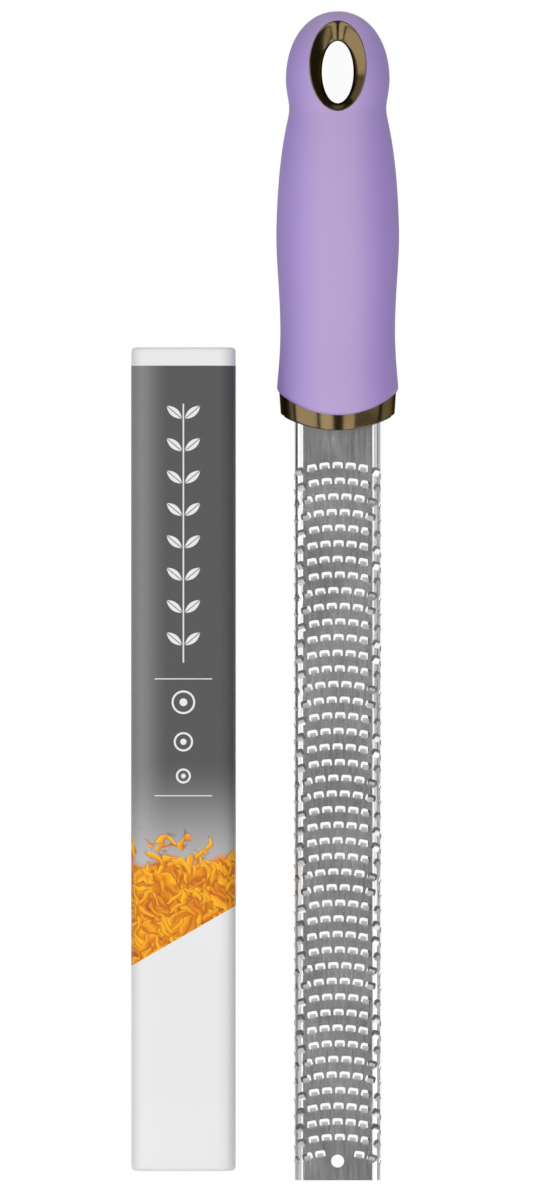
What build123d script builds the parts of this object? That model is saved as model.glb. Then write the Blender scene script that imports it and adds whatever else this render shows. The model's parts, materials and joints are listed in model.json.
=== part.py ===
from build123d import *
from math import atan2, cos, degrees, radians, sin, sqrt
import os

os.makedirs("parts", exist_ok=True)

# A rasp zester lying face up, and its cover beside it. All lengths are millimetres.
# The zester is drawn level first, along +Y from its tip at zero, with the middle of the
# blade's sheet at height zero, and is then laid down on its grip and its tip.

# Zester as a whole
overall_length = 325.3
overrun = 5.0
fit_gap = 0.15

# Blade: one strip of sheet with two walls bent down and inward
sheet = 0.45
blade_width = 23.8
blade_depth = 8.0
bend_radius = 2.4
wall_lean = 32.0
wall_corner = 1.6
blade_socket = 10.0
tang_width = 13.0
tang_length = 46.0
tip_hole_radius = 1.8
tip_hole_place = 5.35

# Teeth: curved rows of holes, each with a tongue that rises towards the handle
tooth_rows = 45
row_pitch = 4.35
row_radius = 36.0
tooth_pitch = 3.65
first_row_drop = 9.9
tooth_reach = 15.6
hole_width = 2.95
hole_length = 2.05
tongue_width = 1.55
tongue_length = 1.1
tongue_rise = 0.45
tongue_sheet = 0.28
tip_hole_land = 2.3
row_shift_shares = (0.0, 0.17, -0.33, -0.45, 0.2, 0.07)

# Handle: an oval body whose outline is given down from the top of the head
handle_length = 112.1
handle_width = 34.1
handle_flatness_share = 0.8
head_width_share = 0.845
head_place_share = 0.171
outline_place_shares = (0.241, 0.318, 0.556, 0.790, 0.925)
outline_width_shares = (0.787, 0.880, 0.99, 0.935, 0.988)
grip_wall = 2.0
grip_sag = 6.7
grip_lip = 1.0

# Ferrule: the collar between grip and blade
ferrule_width = 32.6
ferrule_height = 4.2
ferrule_sag = 4.7
ferrule_round = 0.35

# Eyelet: the liner of the hanging hole, in two halves
eyelet_width = 16.0
eyelet_length = 25.1
eyelet_place = 15.1
eyelet_rim = 0.6
dish_depth = 1.6
dish_overrise = 1.0
hang_hole_width = 8.8
hang_hole_length = 17.3
hang_hole_drop = 1.8

# Screws that hold the core's halves together over the tang
screw_radius = 1.3
screw_head_radius = 2.5
screw_head_height = 1.8
screw_reach = 7.0
screw_seat = 3.2
tang_screw_inset = 7.0
neck_screw_drop = 8.0

# Cover: a flat-sided sheath, open at its handle end, with a card label let into its face
cover_width = 29.0
cover_thickness = 15.0
cover_length = 229.1
cover_corner = 5.5
cover_wall = 1.2
cover_floor = 1.6
cover_end_round = 1.2
cover_mouth_round = 0.4
cover_beside = 42.9
cover_tip_place = 2.7
label_card = 0.25
label_start = 4.7
label_short_length = 150.6
label_long_length = 167.3
label_skirt_share = 0.3

# Rounds of tipping that bring the zester to rest
settling_steps = 6

sheet_top = sheet / 2
flat_half = blade_width / 2 - bend_radius
bend_angle = 90 + wall_lean
bend_middle = bend_radius - sheet / 2
wall_drop = blade_depth - bend_radius * (1 + sin(radians(wall_lean)))
wall_length = wall_drop / cos(radians(wall_lean))

handle_foot = overall_length - handle_length
ferrule_foot = handle_foot - ferrule_height
channel_end = ferrule_foot + blade_socket
tang_end = channel_end + tang_length
head_radius = handle_width * head_width_share / 2
head_rise = handle_length * head_place_share
head_middle = overall_length - head_rise
head_thickness = 2 * head_radius * handle_flatness_share
eyelet_middle = overall_length - eyelet_place
hole_middle = eyelet_middle - hang_hole_drop
body_foot = ferrule_foot - overrun

across_blade = Plane(origin=(0, 0, 0), x_dir=(1, 0, 0), z_dir=(0, -1, 0))


def channel_profile(grow):
    """The blade's section: flat top, two bends and two walls, thickened by grow on each face."""
    with BuildSketch(across_blade) as profile:
        with BuildLine():
            centre = (flat_half, sheet_top - bend_radius)
            outer = CenterArc(centre, bend_radius + grow, 90, -bend_angle)
            inner = CenterArc(centre, bend_radius - sheet - grow, 90, -bend_angle)
            outer_wall = PolarLine(outer @ 1, wall_length + grow, -bend_angle)
            inner_wall = PolarLine(inner @ 1, wall_length + grow, -bend_angle)
            Polyline(outer @ 0, (0, sheet_top + grow), (0, sheet_top - sheet - grow), inner @ 0)
            Line(outer_wall @ 1, inner_wall @ 1)
        make_face()
        mirror(about=Plane.YZ)
    return profile.sketch


def on_sheet(across, along, turn):
    """Where a tooth sits when its distance across is measured over the flat and round the bend."""
    side = 1 if across > 0 else -1
    past_flat = max(0, abs(across) - flat_half)
    angle = min(past_flat / bend_middle, radians(bend_angle))
    past_bend = past_flat - bend_middle * angle
    x = min(abs(across), flat_half) + bend_radius * sin(angle) + past_bend * cos(angle)
    z = sheet_top - bend_radius * (1 - cos(angle)) - past_bend * sin(angle)
    normal = (side * sin(angle), 0, cos(angle))
    surface = Plane(origin=(side * x, along, z), x_dir=(cos(angle), 0, -side * sin(angle)), z_dir=normal)
    return surface.location * Location((0, 0, 0), (0, 0, -turn))


def tooth_places():
    """Places of the teeth on the flat and of those on the bends, row after row from the handle."""
    flat_places, bend_places = [], []
    columns = int(tooth_reach / tooth_pitch) + 1
    for row in range(tooth_rows):
        apex = ferrule_foot - first_row_drop - row * row_pitch
        shift = row_shift_shares[row % len(row_shift_shares)]
        for column in range(-columns, columns + 1):
            swing = (column + shift) * tooth_pitch / row_radius
            across = row_radius * sin(swing)
            along = apex - row_radius * (1 - cos(swing))
            from_tip_hole = Vector(across, along - tip_hole_place).length
            if abs(across) > tooth_reach or from_tip_hole < tip_hole_radius + tip_hole_land:
                continue
            on_flat = abs(across) < flat_half - tongue_width / 2
            chosen = flat_places if on_flat else bend_places
            chosen.append(on_sheet(across, along, degrees(swing)))
    return flat_places, bend_places


def handle_outline(inset):
    """Half the handle's outline, drawn in by inset, from the top of the head to below the ferrule."""
    stations = [
        (handle_width * width / 2 - inset, overall_length - handle_length * place)
        for width, place in zip(outline_width_shares, outline_place_shares)
    ]
    head = EllipticalCenterArc((0, head_middle), head_radius - inset, head_rise - inset, arc_size=90)
    Spline(head @ 0, *stations, tangents=[(0, -1), (0, -1)])
    Line(stations[-1], (stations[-1][0], body_foot))
    return Vector(stations[-1][0], body_foot), head @ 1


def handle_body(inset):
    """The handle's whole oval body, drawn in by inset."""
    with BuildPart() as body:
        with BuildSketch(Plane.XY):
            with BuildLine():
                foot, top = handle_outline(inset)
                Polyline(foot, (0, body_foot), top)
            make_face()
        revolve(axis=Axis.Y)
        scale(by=(1, 1, handle_flatness_share))
    return body.part


def handle_skin(wall):
    """The outer skin of the handle's body, open at its foot."""
    with BuildPart() as skin:
        with BuildSketch(Plane.XY):
            with BuildLine():
                outer_foot, outer_top = handle_outline(0)
                inner_foot, inner_top = handle_outline(wall)
                Line(outer_foot, inner_foot)
                Line(outer_top, inner_top)
            make_face()
        revolve(axis=Axis.Y)
        scale(by=(1, 1, handle_flatness_share))
    return skin.part


def above_arc(foot, sag):
    """Everything above an edge that hangs lowest in the middle and rises by sag at the sides."""
    half = handle_width / 2 + overrun
    radius = ((handle_width / 2) ** 2 + sag**2) / (2 * sag)
    side_rise = radius - sqrt(radius**2 - half**2)
    with BuildPart() as region:
        with BuildSketch(Plane.XY):
            with BuildLine():
                edge = ThreePointArc((-half, foot + side_rise), (0, foot), (half, foot + side_rise))
                top = overall_length + overrun
                Polyline(edge @ 1, (half, top), (-half, top), edge @ 0)
            make_face()
        extrude(amount=handle_width, both=True)
    return region.part


def oval_bar(width, length, middle):
    """An oval bar straight through the head."""
    with BuildPart() as bar:
        with BuildSketch(Plane.XY):
            with Locations((0, middle)):
                Ellipse(width / 2, length / 2)
        extrude(amount=head_thickness, both=True)
    return bar.part


def half_space(side):
    """The half of the handle in front of the parting plane, or behind it."""
    with BuildPart() as block:
        with BuildSketch(Plane.XY):
            with Locations((0, overall_length / 2)):
                Rectangle(handle_width + 2 * overrun, overall_length + 2 * overrun)
        extrude(amount=side * handle_width)
    return block.part


screw_spots = [
    (0, channel_end + tang_screw_inset),
    (0, tang_end - tang_screw_inset),
    (0, eyelet_middle - eyelet_length / 2 - neck_screw_drop),
]
screw_head_seat = -screw_seat

# Blade, with its tang
with BuildPart() as blade:
    extrude(channel_profile(0), amount=-channel_end)
    wall_ends = blade.edges().filter_by(lambda edge: abs(edge.length - sheet) < sheet / 100)
    fillet(wall_ends.group_by(Axis.Y)[0].group_by(Axis.Z)[0], wall_corner)
    with BuildSketch(Plane.XY.offset(sheet_top)):
        with Locations((0, channel_end)):
            Rectangle(tang_width, tang_length, align=(Align.CENTER, Align.MIN))
    extrude(amount=-sheet)
    with BuildSketch(Plane.XY.offset(sheet_top)):
        with Locations(*screw_spots[:2]):
            Circle(screw_radius + fit_gap)
        with Locations((0, tip_hole_place)):
            Circle(tip_hole_radius)
    extrude(amount=-sheet, mode=Mode.SUBTRACT)

with BuildPart() as tooth_hole:
    with BuildSketch(Plane.XY.offset(-bend_middle / 2)):
        Rectangle(hole_width, hole_length)
    extrude(amount=bend_middle)

with BuildPart() as tongue:
    with BuildSketch(Plane.YZ):
        with BuildLine():
            root = -hole_length / 2
            tip = root + tongue_length
            under_tip = (tip, tongue_rise - tongue_sheet)
            Polyline((root, 0), (tip, tongue_rise), under_tip, (root, -tongue_sheet), close=True)
        make_face()
    extrude(amount=tongue_width / 2, both=True)

flat_places, bend_places = tooth_places()
with BuildPart() as toothed_blade:
    add(blade.part)
    with Locations(*flat_places, *bend_places):
        add(tooth_hole.part, mode=Mode.SUBTRACT, clean=False)
    with Locations(*flat_places):
        add(tongue.part, clean=False)

# Core, in two halves that meet at the tang
with BuildPart() as core:
    add(handle_body(grip_wall))
    add(above_arc(ferrule_foot, ferrule_sag), mode=Mode.INTERSECT)
    add(oval_bar(eyelet_width, eyelet_length, eyelet_middle), mode=Mode.SUBTRACT)
    extrude(channel_profile(fit_gap), amount=-channel_end - fit_gap, mode=Mode.SUBTRACT)
    with BuildSketch(Plane.XY.offset(sheet_top)):
        with Locations((0, channel_end)):
            Rectangle(tang_width + 2 * fit_gap, tang_length + fit_gap, align=(Align.CENTER, Align.MIN))
    extrude(amount=-sheet, mode=Mode.SUBTRACT)

with BuildPart() as core_screws:
    with BuildSketch(Plane.XY.offset(screw_head_seat - screw_head_height)):
        with Locations(*screw_spots):
            Circle(screw_head_radius)
    extrude(amount=screw_head_height)
    with BuildSketch(Plane.XY.offset(screw_head_seat)):
        with Locations(*screw_spots):
            Circle(screw_radius)
    extrude(amount=screw_seat + screw_reach)

with BuildPart() as screw_wells:
    with BuildSketch(Plane.XY.offset(screw_head_seat)):
        with Locations(*screw_spots):
            Circle(screw_head_radius + fit_gap)
    extrude(amount=-handle_width)

with BuildPart() as core_front:
    add(core.part)
    add(half_space(1), mode=Mode.INTERSECT)
    add(core_screws.part, mode=Mode.SUBTRACT)

with BuildPart() as core_back:
    add(core.part)
    add(half_space(-1), mode=Mode.INTERSECT)
    add(core_screws.part, mode=Mode.SUBTRACT)
    add(screw_wells.part, mode=Mode.SUBTRACT)

# Grip, a soft skin moulded round the core
with BuildPart() as grip:
    add(handle_skin(grip_wall))
    add(above_arc(handle_foot, grip_sag), mode=Mode.INTERSECT)
    low_edges = grip.edges().filter_by(lambda edge: edge.center().Y < handle_foot + 2 * grip_sag)
    outer_edges = low_edges.filter_by(lambda edge: edge.bounding_box().max.X > handle_width / 2 - grip_wall)
    fillet(outer_edges, grip_lip)
    add(oval_bar(eyelet_width, eyelet_length, eyelet_middle), mode=Mode.SUBTRACT)

# Ferrule
with BuildPart() as ferrule:
    with BuildSketch(Plane.XZ.offset(-ferrule_foot)):
        Ellipse(ferrule_width / 2, ferrule_width / 2 * handle_flatness_share)
    extrude(amount=-ferrule_height - 2 * grip_sag)
    add(above_arc(ferrule_foot, ferrule_sag), mode=Mode.INTERSECT)
    low_edges = ferrule.edges().filter_by(lambda edge: edge.center().Y < ferrule_foot + ferrule_sag)
    fillet(low_edges, ferrule_round)
    add(above_arc(handle_foot, grip_sag), mode=Mode.SUBTRACT)
    add(handle_body(grip_wall), mode=Mode.SUBTRACT)

# Eyelet, a dish let into each face, level with the head's slope, round the hanging hole
rim_half_length = eyelet_length / 2 - eyelet_rim
rim_top_place = (eyelet_middle + rim_half_length - head_middle) / head_rise
rim_low = head_radius * sqrt(1 - rim_top_place**2) * handle_flatness_share
rim_high = handle_width * outline_width_shares[0] / 2 * handle_flatness_share
rim_middle = (rim_low + rim_high) / 2
rim_tilt = degrees(atan2(rim_high - rim_low, 2 * rim_half_length))
spread_share = (dish_depth + dish_overrise) / dish_depth


def dish_plane(rise, drift):
    """A plane with the rim's slope, by rise above the rim's middle and drift along the handle."""
    place = Location((0, hole_middle + drift, rim_middle + rise), (-rim_tilt, 0, 0))
    return Plane(place)


with BuildPart() as dish:
    throat_half_length = hang_hole_length / 2 / cos(radians(rim_tilt))
    mouth_half_length = throat_half_length + (rim_half_length - throat_half_length) * spread_share
    with BuildSketch(dish_plane(-dish_depth, 0)):
        Ellipse(hang_hole_width / 2, throat_half_length)
    with BuildSketch(dish_plane(dish_overrise, hang_hole_drop * spread_share)) as mouth:
        Ellipse(eyelet_width / 2 - eyelet_rim, mouth_half_length)
    loft()
    extrude(mouth.sketch, amount=head_thickness)
    add(oval_bar(hang_hole_width, hang_hole_length, hole_middle))

with BuildPart() as eyelet_front:
    add(handle_body(0))
    add(oval_bar(eyelet_width, eyelet_length, eyelet_middle), mode=Mode.INTERSECT)
    add(half_space(1), mode=Mode.INTERSECT)
    add(dish.part, mode=Mode.SUBTRACT)

with BuildPart() as eyelet_back:
    add(mirror(eyelet_front.part, about=Plane.XY, mode=Mode.PRIVATE))

# Cover, drawn lying on its back beside the blade
cover_mouth = cover_tip_place + cover_length
mouth_centre = (-cover_beside, cover_mouth, cover_thickness / 2)
across_cover = Plane(origin=mouth_centre, x_dir=(1, 0, 0), z_dir=(0, -1, 0))

with BuildPart() as cover_block:
    with BuildSketch(across_cover):
        RectangleRounded(cover_width, cover_thickness, cover_corner)
    extrude(amount=cover_length)
    fillet(cover_block.faces().sort_by(Axis.Y)[0].edges(), cover_end_round)
    fillet(cover_block.faces().sort_by(Axis.Y)[-1].edges(), cover_mouth_round)

with BuildPart() as label_zone:
    with BuildSketch(Plane.XY.offset(cover_thickness * label_skirt_share)):
        with BuildLine():
            left = -cover_beside - cover_width
            right = -cover_beside + cover_width
            slant = (label_long_length - label_short_length) / cover_width
            start = cover_mouth - label_start
            middle = start - (label_long_length + label_short_length) / 2
            Polyline(
                (left, start),
                (right, start),
                (right, middle + slant * cover_width),
                (left, middle - slant * cover_width),
                close=True,
            )
        make_face()
    extrude(amount=cover_thickness)

with BuildPart() as label_bed:
    with BuildSketch(across_cover):
        bed_width = cover_width - 2 * label_card
        bed_thickness = cover_thickness - 2 * label_card
        RectangleRounded(bed_width, bed_thickness, cover_corner - label_card)
    extrude(amount=cover_length)

with BuildPart() as cover_label:
    add(cover_block.part)
    add(label_zone.part, mode=Mode.INTERSECT)
    add(label_bed.part, mode=Mode.SUBTRACT)

with BuildPart() as cover_shell:
    add(cover_block.part)
    with BuildSketch(across_cover):
        inner_corner = cover_corner - cover_wall
        RectangleRounded(cover_width - 2 * cover_wall, cover_thickness - 2 * cover_wall, inner_corner)
    extrude(amount=cover_length - cover_floor, mode=Mode.SUBTRACT)
    add(cover_label.part, mode=Mode.SUBTRACT)


# Laying the zester down, tipped until grip and tip both touch the surface
def tipped(angle):
    """The grip's box when the zester is tipped about its own X axis."""
    return (Location((0, 0, 0), (angle, 0, 0)) * grip.part).bounding_box()


tip_height = sheet_top - blade_depth
tilt = 0
for step in range(settling_steps):
    tip_gap = tip_height * cos(radians(tilt)) - tipped(tilt).min.Z
    tilt += degrees(atan2(tip_gap, handle_foot))
lift = -tip_height * cos(radians(tilt))
middle_across = (handle_width / 2 - cover_beside - cover_width / 2) / 2
middle_along = tipped(tilt).max.Y / 2
laid_down = Location((-middle_across, -middle_along, lift), (tilt, 0, 0))
set_beside = Location((-middle_across, -middle_along, 0))
print("tilt", round(tilt, 3), "lift", round(lift, 3))
print("middle", round(middle_across, 3), round(middle_along, 3))

zester_pieces = {
    "blade": toothed_blade,
    "core_front": core_front,
    "core_back": core_back,
    "core_screws": core_screws,
    "grip": grip,
    "ferrule": ferrule,
    "eyelet_front": eyelet_front,
    "eyelet_back": eyelet_back,
}
cover_pieces = {"cover_shell": cover_shell, "cover_label": cover_label}

for place, pieces in ((laid_down, zester_pieces), (set_beside, cover_pieces)):
    for name, piece in pieces.items():
        piece.part = place * piece.part
        piece.part.label = name
        export_step(piece.part, f"parts/{name}.step")
        print(name, round(piece.part.volume, 1))
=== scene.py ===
import json
import math

import bmesh
import bpy
from mathutils import Euler, Matrix, Vector


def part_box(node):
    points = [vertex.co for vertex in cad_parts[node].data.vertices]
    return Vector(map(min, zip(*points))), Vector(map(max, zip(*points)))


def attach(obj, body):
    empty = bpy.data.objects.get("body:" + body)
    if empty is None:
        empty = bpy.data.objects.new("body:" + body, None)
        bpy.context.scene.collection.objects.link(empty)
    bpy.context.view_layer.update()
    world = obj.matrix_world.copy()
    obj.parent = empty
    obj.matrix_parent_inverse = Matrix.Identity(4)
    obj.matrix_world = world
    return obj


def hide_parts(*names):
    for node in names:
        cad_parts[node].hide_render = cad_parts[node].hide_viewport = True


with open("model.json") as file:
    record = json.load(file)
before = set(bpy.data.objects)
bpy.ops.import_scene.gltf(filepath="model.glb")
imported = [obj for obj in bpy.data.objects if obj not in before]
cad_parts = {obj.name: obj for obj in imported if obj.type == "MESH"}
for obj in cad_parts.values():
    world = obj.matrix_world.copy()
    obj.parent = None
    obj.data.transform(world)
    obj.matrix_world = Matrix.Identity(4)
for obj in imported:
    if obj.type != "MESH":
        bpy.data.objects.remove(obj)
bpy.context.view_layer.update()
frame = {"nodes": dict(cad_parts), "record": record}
print("frame loaded:", ", ".join(sorted(frame["nodes"])))

# The zester's pieces are modelled level and in millimetres, along +Y from the blade's tip,
# then laid down on its grip and tip, where the frame's own mounts say it lies.
mm = 0.001
mergeWithin = 0.001
mounts = {mount["name"]: mount for mount in frame["record"]["mounts"]}
holeAxis = Vector(mounts["hanging_hole"]["axis"])
tilt = Matrix.Rotation(math.atan2(-holeAxis.y, holeAxis.z), 4, "X")
tipHole = {"place": 5.35, "height": 0.225, "radius": 1.8, "segments": 40}
tipHoleCentre = Vector((0, tipHole["place"], tipHole["height"]))
base = Vector(mounts["tip_hole"]["pos_m"]) - tilt @ (tipHoleCentre * mm)
laidDown = Matrix.Translation(base) @ tilt @ Matrix.Scale(mm, 4)

# The cover is modelled in millimetres about the foot of its closed end
coverLow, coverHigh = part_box("cover_shell")
coverFoot = Vector(((coverLow.x + coverHigh.x) / 2, coverLow.y, coverLow.z))
besideIt = Matrix.Translation(coverFoot) @ Matrix.Scale(mm, 4)


# Mesh helpers

def vertsOf(made):
    return [item for item in made if isinstance(item, bmesh.types.BMVert)]


def rimOf(made):
    return [item for item in made if isinstance(item, bmesh.types.BMEdge) and item.is_boundary]


def startLoop(bm, segments, shape):
    turns = bm.verts.layers.float.new("turn")
    for vert in bmesh.ops.create_circle(bm, segments=segments, radius=1)["verts"]:
        vert[turns] = math.atan2(vert.co.y, vert.co.x)
        vert.co = shape(vert[turns])
    return list(bm.edges)


def nextLoop(bm, edges, shape):
    turns = bm.verts.layers.float["turn"]
    made = bmesh.ops.extrude_edge_only(bm, edges=edges)["geom"]
    for vert in vertsOf(made):
        vert.co = shape(vert[turns])
    return rimOf(made)


def rounded(bm, geom, radius, steps):
    affect = "VERTICES" if isinstance(geom[0], bmesh.types.BMVert) else "EDGES"
    bmesh.ops.bevel(bm, geom=geom, affect=affect, offset=radius, segments=steps, profile=0.5,
                    material=-1)


def thicken(bm, sheet):
    # the open sheet's faces turn upward first, so that it thickens below
    bmesh.ops.recalc_face_normals(bm, faces=bm.faces)
    top = max(bm.faces, key=lambda face: face.calc_center_median().z)
    if top.normal.z < 0:
        bmesh.ops.reverse_faces(bm, faces=bm.faces)
    bmesh.ops.solidify(bm, geom=bm.faces[:], thickness=sheet)


def meshFrom(bm, name):
    mesh = bpy.data.meshes.new(name)
    bm.to_mesh(mesh)
    bm.free()
    return mesh


def cutAway(mesh, cutterMesh):
    piece = bpy.data.objects.new("cutting", mesh)
    cutter = bpy.data.objects.new("cutter", cutterMesh)
    for each in (piece, cutter):
        bpy.context.scene.collection.objects.link(each)
    cut = piece.modifiers.new("cut", "BOOLEAN")
    cut.operation = "DIFFERENCE"
    cut.solver = "EXACT"
    cut.object = cutter
    bpy.context.view_layer.update()
    ready = piece.evaluated_get(bpy.context.evaluated_depsgraph_get())
    result = bpy.data.meshes.new_from_object(ready)
    for each in (piece, cutter):
        bpy.data.objects.remove(each)
    return result


def finishPiece(name, mesh, place, look, body, node, sharpAngle=32):
    mesh.transform(place)
    mesh.materials.clear()
    mesh.materials.append(look)
    mesh.shade_smooth()
    mesh.set_sharp_from_angle(angle=math.radians(sharpAngle))
    piece = bpy.data.objects.new(name, mesh)
    bpy.context.scene.collection.objects.link(piece)
    even = piece.modifiers.new("evenShading", "WEIGHTED_NORMAL")
    even.keep_sharp = True
    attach(piece, body)
    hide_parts(node)
    print("made", name, "with", len(mesh.polygons), "faces")


# Node helpers

def addNode(tree, kind, inputs=None, **settings):
    node = tree.nodes.new(kind)
    for name, value in settings.items():
        setattr(node, name, value)
    for name, value in (inputs or {}).items():
        if isinstance(value, bpy.types.NodeSocket):
            tree.links.new(value, node.inputs[name])
        else:
            node.inputs[name].default_value = value
    return node


def newLook(name, plain):
    look = bpy.data.materials.new(name)
    look.use_nodes = True
    tree = look.node_tree
    shader = tree.nodes["Principled BSDF"]
    for socket, value in plain.items():
        shader.inputs[socket].default_value = value
    return look, tree, shader


def blendColours(tree, amount, first, second, kind="MIX"):
    node = addNode(tree, "ShaderNodeMix", data_type="RGBA", blend_type=kind)
    for index, value in ((0, amount), (6, first), (7, second)):
        if isinstance(value, bpy.types.NodeSocket):
            tree.links.new(value, node.inputs[index])
        elif index:
            node.inputs[index].default_value = (*value, 1)
        else:
            node.inputs[index].default_value = value
    return node.outputs[2]


def spread(tree, value, low, high, fromLow=0.0, fromHigh=1.0, kind="LINEAR"):
    inputs = {"Value": value, "From Min": fromLow, "From Max": fromHigh, "To Min": low, "To Max": high}
    return addNode(tree, "ShaderNodeMapRange", inputs, interpolation_type=kind).outputs["Result"]


def maths(tree, operation, first, second=0.0):
    return addNode(tree, "ShaderNodeMath", {0: first, 1: second}, operation=operation).outputs[0]


def plus(tree, first, second):
    return maths(tree, "ADD", first, second)


def minus(tree, first, second):
    return maths(tree, "SUBTRACT", first, second)


def times(tree, first, second):
    return maths(tree, "MULTIPLY", first, second)


def unsigned(tree, value):
    return maths(tree, "ABSOLUTE", value)


def vectorMaths(tree, operation, *inputs):
    return addNode(tree, "ShaderNodeVectorMath", dict(enumerate(inputs)), operation=operation).outputs


def newGroup(name, inputs, outputs):
    group = bpy.data.node_groups.new(name, "ShaderNodeTree")
    for direction, sockets in (("INPUT", inputs), ("OUTPUT", outputs)):
        for socket, kind in sockets:
            group.interface.new_socket(socket, in_out=direction, socket_type="NodeSocket" + kind)
    return group, group.nodes.new("NodeGroupInput").outputs, group.nodes.new("NodeGroupOutput").inputs


# Millimetres on the laid-down zester, and on the cover, read from Object coordinates
def millimetres(tree, place):
    back = place.inverted()
    mapping = addNode(tree, "ShaderNodeMapping", {
        "Vector": addNode(tree, "ShaderNodeTexCoord").outputs["Object"],
        "Location": back.to_translation(),
        "Rotation": back.to_euler(),
        "Scale": (1000, 1000, 1000),
    })
    return mapping.outputs["Vector"]


# Grain: fine noise, drawn out along one direction where Stretch says so
grainGroup, given, put = newGroup(
    "grain", [("Vector", "Vector"), ("Scale", "Float"), ("Stretch", "Vector")], [("Grain", "Float")]
)
drawnOut = vectorMaths(grainGroup, "MULTIPLY", given["Vector"], given["Stretch"])[0]
fineNoise = addNode(grainGroup, "ShaderNodeTexNoise", {
    "Vector": drawnOut, "Scale": given["Scale"], "Detail": 3, "Roughness": 0.6,
})
grainGroup.links.new(fineNoise.outputs[0], put["Grain"])

# Handling: broad faint patches, where fingers have dulled or polished the surface
handlingGroup, given, put = newGroup(
    "handling", [("Vector", "Vector"), ("Scale", "Float")], [("Patches", "Float")]
)
broadNoise = addNode(handlingGroup, "ShaderNodeTexNoise", {
    "Vector": given["Vector"], "Scale": given["Scale"], "Detail": 2, "Roughness": 0.5, "Distortion": 0.4,
})
handlingGroup.links.new(
    spread(handlingGroup, broadNoise.outputs[0], 0, 1, 0.35, 0.65, "SMOOTHSTEP"), put["Patches"]
)


def grain(tree, vector, scale, stretch=(1, 1, 1)):
    inputs = {"Vector": vector, "Scale": scale, "Stretch": stretch}
    return addNode(tree, "ShaderNodeGroup", inputs, node_tree=grainGroup).outputs["Grain"]


def handling(tree, vector, scale):
    inputs = {"Vector": vector, "Scale": scale}
    return addNode(tree, "ShaderNodeGroup", inputs, node_tree=handlingGroup).outputs["Patches"]


def dress(tree, shader, colour, roughness, height, bump):
    depth, strength = bump
    relief = {"Height": height, "Distance": depth * mm, "Strength": strength}
    normal = addNode(tree, "ShaderNodeBump", relief).outputs[0]
    for socket, value in (("Base Color", colour), ("Roughness", roughness), ("Normal", normal)):
        tree.links.new(value, shader.inputs[socket])


print("groups ready")


# Blade: a channel of thin sheet, etched through in curved rows, its teeth bent up
blade = {
    "sheet": 0.45,
    "width": 23.8,
    "depth": 8.0,
    "bend": 2.4,
    "lean": 32,
    "socketEnd": 219.0,
    "cornerRound": 1.6,
    "tangWidth": 13.0,
    "tangLength": 46.0,
    "tangLap": 0.2,
    "bendSteps": 14,
    "cornerSteps": 4,
    "light": (0.72, 0.725, 0.72),
    "dark": (0.56, 0.56, 0.557),
    "toneSpan": (0.35, 0.65),
    "rolledStretch": (2.4, 0.12, 2.4),
    "rolledShare": 0.4,
    "mottleScale": 4.5,
    "mottleShare": 0.6,
    "patchScale": 0.05,
    "patchDulling": 0.03,
    "roughness": (0.18, 0.25),
    "bump": (0.002, 0.4),
    "sharpAngle": 25,
}
teeth = {
    "rows": 45,
    "rowPitch": 4.35,
    "rowRadius": 36.0,
    "pitch": 3.65,
    "firstRow": 199.1,
    "reach": 15.6,
    "shifts": (0.0, 0.17, -0.33, -0.45, 0.2, 0.07),
    "holeWidth": 2.83,
    "holeLength": 1.8,
    "holeCorner": 0.6,
    "nearCornerShare": 0.45,
    "cutBelow": 1.0,
    "cutHeight": 1.9,
    "tongueWidth": 1.76,
    "tongueLength": 1.05,
    "tongueRoot": 0.55,
    "rise": 0.5,
    "riseCurve": 1.4,
    "sunkShare": 0.15,
    "taper": 0.06,
    "cornerCut": 0.12,
    "rootShare": 0.7,
    "edge": 0.14,
    "clearOfTipHole": 4.1,
    "edgeFrom": 11.4,
    "edgeSink": 0.22,
}
sheetTop = blade["sheet"] / 2
flatHalf = blade["width"] / 2 - blade["bend"]
bendAngle = math.radians(90 + blade["lean"])
bendMiddle = blade["bend"] - sheetTop
leanAngle = math.radians(blade["lean"])
wallDrop = blade["depth"] - blade["bend"] * (1 + math.sin(leanAngle))


def bladeSheet():
    bm = bmesh.new()
    half = [bm.verts.new((0, 0, sheetTop)), bm.verts.new((flatHalf, 0, sheetTop))]
    bm.edges.new(half)
    centre = (flatHalf, 0, sheetTop - blade["bend"])
    bmesh.ops.spin(bm, geom=[half[1]], cent=centre, axis=(0, 1, 0), angle=bendAngle,
                   steps=blade["bendSteps"])
    lowest = min(bm.verts, key=lambda vert: vert.co.z)
    wall = vertsOf(bmesh.ops.extrude_vert_indiv(bm, verts=[lowest])["verts"])
    drop = (-wallDrop * math.tan(leanAngle), 0, -wallDrop)
    bmesh.ops.translate(bm, vec=drop, verts=wall)
    bmesh.ops.mirror(bm, geom=bm.verts[:] + bm.edges[:], axis="X", merge_dist=mergeWithin)
    long = bmesh.ops.extrude_edge_only(bm, edges=bm.edges[:])["geom"]
    bmesh.ops.translate(bm, vec=(0, blade["socketEnd"], 0), verts=vertsOf(long))
    low = min(vert.co.z for vert in bm.verts)
    tipEnd = [vert for vert in bm.verts if vert.co.y < mergeWithin]
    rounded(bm, [vert for vert in tipEnd if vert.co.z < low + mergeWithin], blade["cornerRound"],
            blade["cornerSteps"])
    bmesh.ops.remove_doubles(bm, verts=bm.verts, dist=mergeWithin)
    thicken(bm, blade["sheet"])
    return bm


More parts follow.
